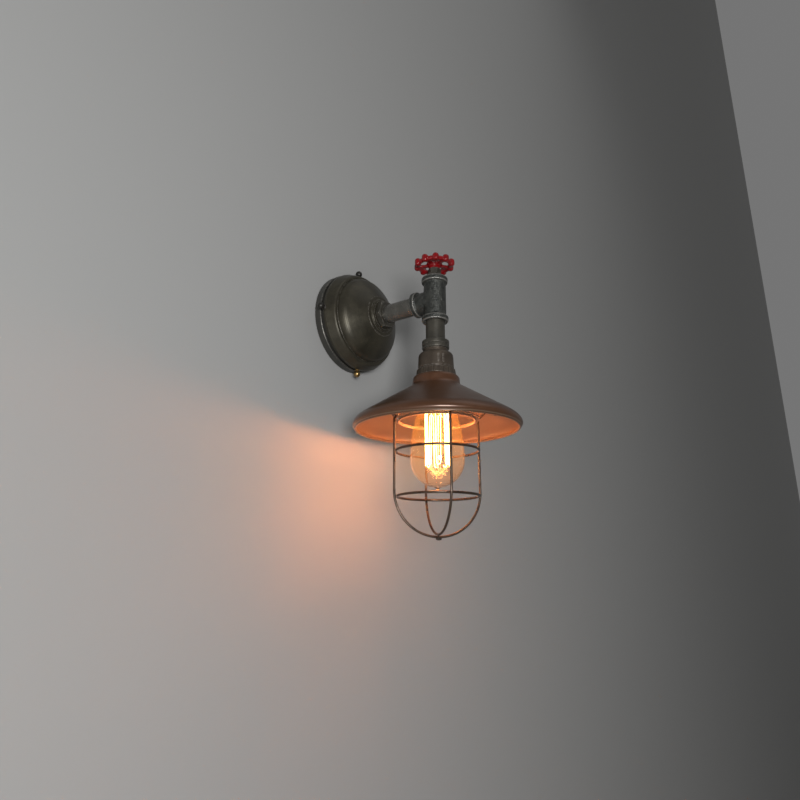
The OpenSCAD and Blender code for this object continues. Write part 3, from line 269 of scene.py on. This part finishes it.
def lacquer(name, colour, cloud_colour, roughness, metallic, centre=(0, 0, 0), turn=(0, 0, 0),
            rings=0.0, grain=0.0, grain_size=0.0012, wear_and_highlight=0.8, worn_and_highlit=WORN_STEEL, patch_size=0.02,
            cast=False, notch_count=0):
    material, tree, shader = new_material(name, colour, roughness, metallic)
    where = placed(tree, centre, turn)
    clouds = use_group(tree, patches, {"Vector": where, "Patch size": patch_size})
    # On castings the paler places are partly wear, partly a painted highlight on the rounded bands
    if cast:
        edge = use_group(tree, worn_and_highlit_places, {"Vector": where, "Amount": wear_and_highlight})["Mask"]
    else:
        edge = use_group(tree, rubbed_edges, {"Amount": wear_and_highlight})["Mask"]
    base = mix_colour(tree, clouds["Patch"], colour, cloud_colour)
    speckled = mix_colour(tree, math_node(tree, "MULTIPLY", clouds["Speck"], 0.3), base,
                          [v * 0.55 for v in colour])
    tree.links.new(mix_colour(tree, edge, speckled, worn_and_highlit), shader.inputs["Base Color"])
    dull = math_node(tree, "MULTIPLY_ADD", clouds["Patch"], 0.10)
    dull.node.inputs[2].default_value = roughness - 0.05
    rubbed = math_node(tree, "SUBTRACT", dull, math_node(tree, "MULTIPLY", edge, 0.12))
    tree.links.new(rubbed, shader.inputs["Roughness"])
    lines = use_group(tree, spun_rings, {"Vector": where})["Height"]
    skin = use_group(tree, cast_grain, {"Vector": where, "Grain size": grain_size})["Height"]
    turned = math_node(tree, "MULTIPLY", lines, rings)
    height = math_node(tree, "ADD", turned, math_node(tree, "MULTIPLY", skin, grain))
    if notch_count:
        row = use_group(tree, notches, {"Vector": where, "Count": float(notch_count)})["Height"]
        height = math_node(tree, "ADD", height, math_node(tree, "MULTIPLY", row, 0.5))
    bump = add_node(tree, "ShaderNodeBump", {"Height": height, "Distance": MM, "Strength": 1.0})
    tree.links.new(bump.outputs[0], shader.inputs["Normal"])
    return material


DROP = (0, -0.1275, 0)
ALONG_ARM = (math.radians(90), 0, 0)
CUP_BROWN = (0.056, 0.043, 0.032)
CUP_CLOUD = (0.088, 0.068, 0.050)
finishes = {
    "plate_paint": lacquer("plate_paint", (0.048, 0.047, 0.042), (0.066, 0.063, 0.054), 0.44, 0.45,
                           turn=ALONG_ARM, rings=0.02),
    "cover_paint": lacquer("cover_paint", (0.038, 0.034, 0.024), (0.064, 0.057, 0.039), 0.40, 0.55,
                           turn=ALONG_ARM, rings=0.09),
    # The casting's paler places are partly wear, partly a painted highlight
    "casting": lacquer("casting", (0.026, 0.028, 0.026), (0.074, 0.076, 0.068), 0.36, 0.50, DROP,
                       grain=0.62, grain_size=0.0011, patch_size=0.005, cast=True, wear_and_highlight=0.7,
                       worn_and_highlit=(0.27, 0.26, 0.24)),
    "fitting_paint": lacquer("fitting_paint", (0.045, 0.042, 0.034), (0.080, 0.073, 0.058), 0.42, 0.50,
                             DROP, grain=0.14),
    "cup_paint": lacquer("cup_paint", CUP_BROWN, CUP_CLOUD, 0.42, 0.50, DROP, grain=0.16),
    "shade_paint": lacquer("shade_paint", (0.088, 0.034, 0.013), (0.100, 0.040, 0.016), 0.35, 0.40,
                           DROP, rings=0.03, wear_and_highlight=0.4),
    "guard_paint": lacquer("guard_paint", (0.066, 0.045, 0.032), (0.098, 0.070, 0.050), 0.30, 0.75,
                           DROP, grain=0.05),
    "black_screw": lacquer("black_screw", (0.022, 0.021, 0.019), (0.040, 0.037, 0.032), 0.38, 0.60),
}
print(sorted(finishes))

# %% [markdown]
# The pieces that wear no lacquer are bare metal, porcelain, rubber and plastic. They could each have a
# material of their own kind, but they share what makes the lacquer look real, faint patches, specks and
# rubbed edges, so the same function makes them with other colours and less wear.

# %% Bare metals, porcelain, rubber and plastic
def metal(name, colour, dull_colour, roughness, grain=0.03, metallic=1.0):
    return lacquer(name, colour, dull_colour, roughness, metallic, DROP, grain=grain, wear_and_highlight=0.5,
                   worn_and_highlit=[min(1, v * 1.3) for v in colour])


finishes.update({
    "pipe_steel": metal("pipe_steel", (0.175, 0.168, 0.152), (0.100, 0.096, 0.084), 0.28, 0.08, 0.75),
    "spindle_steel": metal("spindle_steel", (0.13, 0.12, 0.105), (0.08, 0.073, 0.064), 0.38),
    "zinc": metal("zinc", (0.55, 0.55, 0.53), (0.45, 0.45, 0.44), 0.34),
    "brass_screw": metal("brass_screw", (0.42, 0.29, 0.12), (0.28, 0.18, 0.07), 0.32),
    "brass": metal("brass", (0.70, 0.52, 0.24), (0.58, 0.42, 0.19), 0.26),
    "solder": metal("solder", (0.62, 0.62, 0.60), (0.5, 0.5, 0.5), 0.35, 0.2),
    "hook_wire": metal("hook_wire", (0.80, 0.58, 0.24), (0.66, 0.45, 0.18), 0.25),
    "red_paint": lacquer("red_paint", (0.22, 0.002, 0.005), (0.15, 0.002, 0.003), 0.12, 0.0, DROP,
                         grain=0.06, grain_size=0.003, wear_and_highlight=0.05, worn_and_highlit=(0.45, 0.04, 0.04), cast=True),
    "porcelain": lacquer("porcelain", (0.82, 0.79, 0.72), (0.86, 0.84, 0.78), 0.18, 0.0, DROP, wear_and_highlight=0.0),
    "rubber": lacquer("rubber", (0.025, 0.025, 0.025), (0.04, 0.04, 0.04), 0.6, 0.0, grain=0.1, wear_and_highlight=0.0),
    "block_plastic": lacquer("block_plastic", (0.74, 0.71, 0.63), (0.78, 0.76, 0.70), 0.45, 0.0,
                             grain=0.05, wear_and_highlight=0.0),
    "brown_lead": lacquer("brown_lead", (0.15, 0.065, 0.03), (0.19, 0.08, 0.04), 0.4, 0.0, wear_and_highlight=0.0),
    "blue_lead": lacquer("blue_lead", (0.03, 0.08, 0.28), (0.05, 0.11, 0.34), 0.4, 0.0, wear_and_highlight=0.0),
    "green_lead": lacquer("green_lead", (0.14, 0.30, 0.05), (0.20, 0.36, 0.07), 0.4, 0.0, wear_and_highlight=0.0),
    "cap_glass": lacquer("cap_glass", (0.012, 0.012, 0.015), (0.03, 0.03, 0.035), 0.12, 0.0, wear_and_highlight=0.0),
})
print(len(finishes), "finishes")

# %% [markdown]
# Clear glass lets the lamp's own light out. A real pane does that by itself, but a renderer would have to
# trace the light back through two curved walls, so shadow rays pass straight through instead. Beside the
# hot filament the glass also seems to glow a little, which fades towards the foot of the bulb.

# %% Glass
GLOW_FOOT, GLOW_HEAD = -0.222, -0.165


def clear_glass(name, colour, glow):
    material, tree, shader = new_material(name, colour, 0.02)
    shader.inputs["Transmission Weight"].default_value = 1.0
    shader.inputs["IOR"].default_value = 1.45
    height = add_node(tree, "ShaderNodeSeparateXYZ", {"Vector": placed(tree)}).outputs["Z"]
    near = add_node(tree, "ShaderNodeMapRange", {
        "Value": height, "From Min": GLOW_FOOT, "From Max": GLOW_HEAD,
        "To Min": 0.03, "To Max": 1.0}).outputs[0]
    halo = mix_colour(tree, near, (0, 0, 0), (1.0, 0.33, 0.05))
    tree.links.new(halo, shader.inputs["Emission Color"])
    shader.inputs["Emission Strength"].default_value = glow
    through = add_node(tree, "ShaderNodeBsdfTransparent", {"Color": (0.98, 0.95, 0.9, 1)})
    shadow = add_node(tree, "ShaderNodeLightPath").outputs["Is Shadow Ray"]
    mixed = add_node(tree, "ShaderNodeMixShader", {
        0: shadow, 1: shader.outputs[0], 2: through.outputs[0]})
    tree.links.new(mixed.outputs[0], tree.nodes["Material Output"].inputs["Surface"])
    return material


finishes["clear_glass"] = clear_glass("clear_glass", (1.0, 0.93, 0.81), 0.09)
finishes["stem_glass"] = clear_glass("stem_glass", (1.0, 0.98, 0.94), 0.20)
print("glass ready")

# %% [markdown]
# The filament is a thin thread that glows by its own heat, and the wire hooks that hold it are lit from
# so near that they seem to glow too. Lamps could light the hooks, but a little light of their own is
# steadier. The thread's strength is set so high that the picture shows it nearly white, as a camera does.

# %% The hooks
hooks = finishes["hook_wire"].node_tree.nodes["Principled BSDF"]
hooks.inputs["Emission Color"].default_value = (1.0, 0.50, 0.16, 1)
hooks.inputs["Emission Strength"].default_value = 2.5
print("hooks lit")

# %% The glowing filament
glowing, tree, shader = new_material("filament", (1.0, 0.72, 0.36), 0.5)
shader.inputs["Emission Color"].default_value = (1.0, 0.62, 0.24, 1)
shader.inputs["Emission Strength"].default_value = 40.0
finishes["filament"] = glowing
print("filament ready")

# %% [markdown]
# The shade is spun sheet metal, here with brown paint under a thin satin varnish, which gives the soft
# second shine on its slope. The shader's own coat does this. Inside, the colour is paler: this is painted
# light, standing in for the bulb's light on the inner face. Two materials on two sets of faces would need
# the faces sorted by hand, so one material asks each point whether its surface looks outwards and up, or
# inwards and down, and takes its colour from that.

# %% The varnish
varnish = finishes["shade_paint"].node_tree.nodes["Principled BSDF"]
varnish.inputs["Coat Weight"].default_value = 0.45
varnish.inputs["Coat Roughness"].default_value = 0.30
print("varnished the shade")

# %% The paler inside, painted light from the bulb
def paint_bulb_light_inside(material, inner, outward):
    """The colour is inner, painted light from the bulb, where the surface looks away from outward, seen from the
    drop's axis
    """
    tree = material.node_tree
    shader = tree.nodes["Principled BSDF"]
    outer = shader.inputs["Base Color"].links[0].from_socket
    parts = add_node(tree, "ShaderNodeSeparateXYZ", {"Vector": placed(tree, DROP)}).outputs
    level = add_node(tree, "ShaderNodeCombineXYZ", {"X": parts["X"], "Y": parts["Y"]}).outputs[0]
    away = add_node(tree, "ShaderNodeVectorMath", {0: level}, operation="NORMALIZE").outputs[0]
    raised = add_node(tree, "ShaderNodeVectorMath", {0: away, 1: (0, 0, outward)},
                      operation="ADD").outputs[0]
    facing = add_node(tree, "ShaderNodeTexCoord").outputs["Normal"]
    agree = add_node(tree, "ShaderNodeVectorMath", {0: facing, 1: raised},
                     operation="DOT_PRODUCT").outputs["Value"]
    inside = math_node(tree, "LESS_THAN", agree, 0.0)
    tree.links.new(mix_colour(tree, inside, outer, inner), shader.inputs["Base Color"])


# The paler inner colour is painted light from the bulb
paint_bulb_light_inside(finishes["shade_paint"], (0.17, 0.105, 0.062), 1.0)
print("the shade is paler inside")

# %% [markdown]
# Each solid names the finish that it wears in its record, so a loop can dress them all. Two pieces differ
# from their family, as the photograph shows them: the ring that carries the guard is paler, which is
# painted light from the bulb on it, and the clamping ring has its row of notches and brighter edges.

# %% Give each solid its finish
special = {
    # The guard ring's paler colour is painted light from the bulb
    "guard_ring": lacquer("ring_paint_bulb_lit", (0.22, 0.13, 0.075), (0.27, 0.165, 0.10), 0.42, 0.20, DROP,
                          grain=0.05),
    "clamp_ring": lacquer("notched_cup_paint", CUP_BROWN, CUP_CLOUD, 0.42, 0.50, DROP,
                          grain=0.16, notch_count=22, wear_and_highlight=1.3),
}
slots = {part["node"]: part["material_slot"] for part in frame["record"]["subparts"]}
for name, solid in solids.items():
    solid.data.materials.clear()
    solid.data.materials.append(special.get(name, finishes[slots[name]]))
print("dressed", len(slots), "solids")

# %% [markdown]
# The tee and the handwheel are castings. On a real one every inner corner is filled by a soft curve and
# every outer one is rounded, because sand doesn't hold a sharp edge. One could bevel each edge by hand, but
# where round forms run into each other there is no clean edge to bevel. Here a copy of the solid is made
# again from small cubes, which closes all its seams, and then smoothed a few times, as a file would do.

# %% How far each point stands out
def smooth(mesh, rounds):
    for _ in range(rounds):
        bmesh.ops.smooth_vert(mesh, verts=mesh.verts, factor=0.5,
                              use_axis_x=True, use_axis_y=True, use_axis_z=True)


def mark_what_stands_out(mesh, rounds, depth):
    """A point that smoothing would pull inwards by depth gets the value 1"""
    here = [point.co.copy() for point in mesh.verts]
    smooth(mesh, rounds)
    pulled = [place - point.co for place, point in zip(here, mesh.verts)]
    for place, point in zip(here, mesh.verts):
        point.co = place
    mesh.normal_update()
    layer = mesh.verts.layers.float.new("stands_out")
    for point, pull in zip(mesh.verts, pulled):
        point[layer] = max(0.0, min(1.0, pull.dot(point.normal) / depth))


print("smoothing helpers ready")

# %% Castings
WELD = 0.002 * MM
STAND_OUT_ROUNDS, STAND_OUT_DEPTH = 6, 0.06 * MM
COARSE_SAND, FINE_SAND = 3.4 * MM, 1.5 * MM


def cast_piece(node, name, body, cube, rounds, lumps, fatter=None):
    """The node's solid made again from cubes, smoothed, and given a sandy skin with lumps this high"""
    mesh = bmesh.new()
    mesh.from_mesh(solids[node].data)
    bmesh.ops.remove_doubles(mesh, verts=mesh.verts, dist=WELD)
    data = bpy.data.meshes.new(name)
    mesh.to_mesh(data)
    mesh.free()
    piece = bpy.data.objects.new(name, data)
    bpy.context.collection.objects.link(piece)
    again = piece.modifiers.new("small cubes", "REMESH")
    again.mode = "VOXEL"
    again.voxel_size = cube
    seen = piece.evaluated_get(bpy.context.evaluated_depsgraph_get())
    made = bpy.data.meshes.new_from_object(seen)
    piece.modifiers.clear()
    mesh = bmesh.new()
    mesh.from_mesh(made)
    if fatter:
        mesh.normal_update()
        for point in mesh.verts:
            point.co += point.normal * fatter(point.co)
    smooth(mesh, rounds)
    mark_what_stands_out(mesh, STAND_OUT_ROUNDS, STAND_OUT_DEPTH)
    for point in mesh.verts:
        sand = noise.noise(point.co / COARSE_SAND) + 0.5 * noise.noise(point.co / FINE_SAND)
        point.co += point.normal * lumps * sand
    for face in mesh.faces:
        face.smooth = True
    mesh.to_mesh(data)
    mesh.free()
    bpy.data.meshes.remove(made)
    data.materials.clear()
    data.materials.append(finishes[slots[node]])
    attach(piece, body)
    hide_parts(node)
    print(name, len(data.polygons), "faces")


HUB_EDGE = 11 * MM
FATTER_OVER = 5 * MM
FATTER_BY = 0.3 * MM


def outside_hub(place):
    """The rim and the ends of the spokes get fatter, the hub in the middle doesn't"""
    out = math.hypot(place.x, place.y - DROP[1])
    return FATTER_BY * max(0.0, min(1.0, (out - HUB_EDGE) / FATTER_OVER))


cast_piece("pipe_tee", "tee_casting", "fixture", 0.45 * MM, 4, 0.16 * MM)
cast_piece("handwheel", "wheel_casting", "wheel", 0.36 * MM, 8, 0.06 * MM, outside_hub)

# %% [markdown]
# The lamp hangs on a plain grey wall, over a plain pale floor. From behind, the wall is see-through, so
# that the plate's back can be looked at, and it has a hole behind the plate, as a real wall has for the
# cable, through which light reaches that back.

# %% Wall and floor
WIDE = 8.0
WALL_GAP = 0.0005
FLOOR_Z = -1.6
HOLE_RADIUS = 0.056


def plain_sheet(name, colour, corners, hole_radius=0.0):
    """A flat sheet that faces the side from which its corners run anticlockwise, with a hole at the plate"""
    flat = bmesh.new()
    around = [flat.verts.new(corner) for corner in corners]
    for first, second in zip(around, around[1:] + around[:1]):
        flat.edges.new((first, second))
    if hole_radius:
        upright = Matrix.Translation((0, WALL_GAP, 0)) @ Matrix.Rotation(math.radians(90), 4, "X")
        bmesh.ops.create_circle(flat, segments=64, radius=hole_radius, matrix=upright)
    bmesh.ops.triangle_fill(flat, edges=flat.edges[:], use_beauty=True)
    front = (around[1].co - around[0].co).cross(around[2].co - around[0].co)
    turned_away = [face for face in flat.faces if face.normal.dot(front) < 0]
    bmesh.ops.reverse_faces(flat, faces=turned_away)
    mesh = bpy.data.meshes.new(name)
    flat.to_mesh(mesh)
    area = sum(face.calc_area() for face in flat.faces)
    print(name, len(flat.faces), "faces,", round(area, 3), "square metres")
    flat.free()
    sheet = bpy.data.objects.new(name, mesh)
    bpy.context.collection.objects.link(sheet)
    material, tree, shader = new_material(name, colour, 0.8)
    clear = add_node(tree, "ShaderNodeBsdfTransparent")
    behind = add_node(tree, "ShaderNodeNewGeometry").outputs["Backfacing"]
    mixed = add_node(tree, "ShaderNodeMixShader", {
        0: behind, 1: shader.outputs[0], 2: clear.outputs[0]})
    tree.links.new(mixed.outputs[0], tree.nodes["Material Output"].inputs["Surface"])
    mesh.materials.append(material)


plain_sheet("wall", (0.32, 0.32, 0.315), [
    (-WIDE, WALL_GAP, FLOOR_Z), (WIDE, WALL_GAP, FLOOR_Z),
    (WIDE, WALL_GAP, WIDE), (-WIDE, WALL_GAP, WIDE)], HOLE_RADIUS)
plain_sheet("floor", (0.78, 0.78, 0.77), [
    (-WIDE, -WIDE, FLOOR_Z), (WIDE, -WIDE, FLOOR_Z),
    (WIDE, WIDE, FLOOR_Z), (-WIDE, WIDE, FLOOR_Z)])

# %% [markdown]
# Three soft lamps light the object. The photograph's main light comes from near the camera, so the key lamp
# stands there and is the strong one. Two weak and wider lamps, one above and one below, keep the shadows
# open. One large lamp could do it all, but then the pipes would lose the dark sides that make them round.

# %% Soft lamps
def soft_lamp(name, place, target, size, power, colour=(1, 1, 1)):
    light = bpy.data.lights.new(name, "AREA")
    light.shape = "RECTANGLE"
    light.size, light.size_y = size
    light.energy = power
    light.color = colour
    lamp = bpy.data.objects.new(name, light)
    lamp.location = place
    lamp.rotation_euler = (Vector(target) - Vector(place)).to_track_quat("-Z", "Y").to_euler()
    bpy.context.collection.objects.link(lamp)


MIDDLE = (0, -0.12, -0.08)
soft_lamp("key", (-1.10, -1.15, -0.36), MIDDLE, (0.4, 0.4), 20)
soft_lamp("fill", (0.2, -0.9, 1.3), MIDDLE, (1.2, 1.2), 2)
soft_lamp("low", (-1.0, -0.5, -0.7), MIDDLE, (0.8, 0.5), 1.5)
print("three soft lamps")

# %% [markdown]
# The filament alone would need a very long render before its light came out clean, so a small warm lamp
# inside the bulb does most of its work. It is a stand-in, so the camera doesn't see it, nor do the rays that
# pass through the glass. Gloss does reflect it, as it would the filament.

# %% The filament's light
GLOW_Z = -0.160
glow = bpy.data.lights.new("glow", "POINT")
glow.energy = 0.95
glow.shadow_soft_size = 0.011
glow.color = (1.0, 0.31, 0.10)
glow_lamp = bpy.data.objects.new("glow", glow)
glow_lamp.location = (DROP[0], DROP[1], GLOW_Z)
glow_lamp.visible_camera = False
glow_lamp.visible_transmission = False
bpy.context.collection.objects.link(glow_lamp)
print("the filament's light stands at z", GLOW_Z)

# %% [markdown]
# A room gives a little light from all sides. A plain grey world does that here, and it is kept weak, so
# that the colours come out about as they are written.

# %% World
world = bpy.data.worlds.new("plain")
bpy.context.scene.world = world
world.use_nodes = True
backdrop = world.node_tree.nodes["Background"]
backdrop.inputs["Color"].default_value = (0.8, 0.8, 0.8, 1)
backdrop.inputs["Strength"].default_value = 0.22
bpy.context.scene.view_settings.view_transform = "Standard"
print("world ready")
